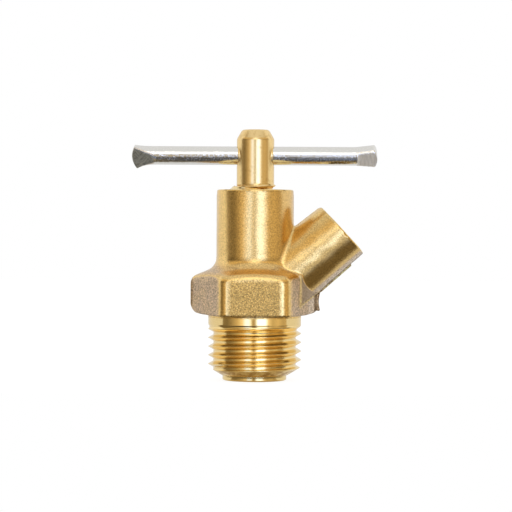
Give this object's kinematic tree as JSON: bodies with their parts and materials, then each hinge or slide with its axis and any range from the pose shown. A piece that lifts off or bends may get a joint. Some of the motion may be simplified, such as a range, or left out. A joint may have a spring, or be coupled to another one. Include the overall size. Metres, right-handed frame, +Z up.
{
  "type": "drain cock",
  "caption": "Forged brass drain cock with a male thread and hexagon below, a screw spindle turned by a sliding tommy bar, and an angled outlet spout.",
  "frame": {"origin": "on the male thread's axis, at the underside of the hexagon, where the cock seals on its boss", "axes": "+Z up the spindle away from the thread, +X towards the side that the outlet spout leans to"},
  "size_m": [0.0423, 0.019, 0.043],
  "materials": {
    "forged_brass": "satin",
    "turned_brass": "polished",
    "black_rubber": "matte",
    "plated_steel": "satin"
  },
  "bodies": {
    "body": {"valve_body": "forged_brass"},
    "seal": {"spindle_seal": "black_rubber"},
    "screw": {"spindle": "turned_brass"},
    "bar": {"tommy_bar": "plated_steel"}
  },
  "joints": [
    {"name": "spindle_lift", "type": "slide", "parent": "body", "child": "seal", "axis": [0, 0, 1], "range_m": [0, 0.003]},
    {"name": "spindle_turn", "type": "hinge", "parent": "seal", "child": "screw", "pos_m": [0, 0, 0], "axis": [0, 0, 1], "range_deg": [0, 1080]},
    {"name": "bar_slide", "type": "slide", "parent": "screw", "child": "bar", "axis": [1, 0, 0], "range_m": [-0.0135, 0.0135]}
  ],
  "couplings": [
    {"joint": "spindle_lift", "follows": "spindle_turn", "m_per_rad": 0.00015915}
  ]
}
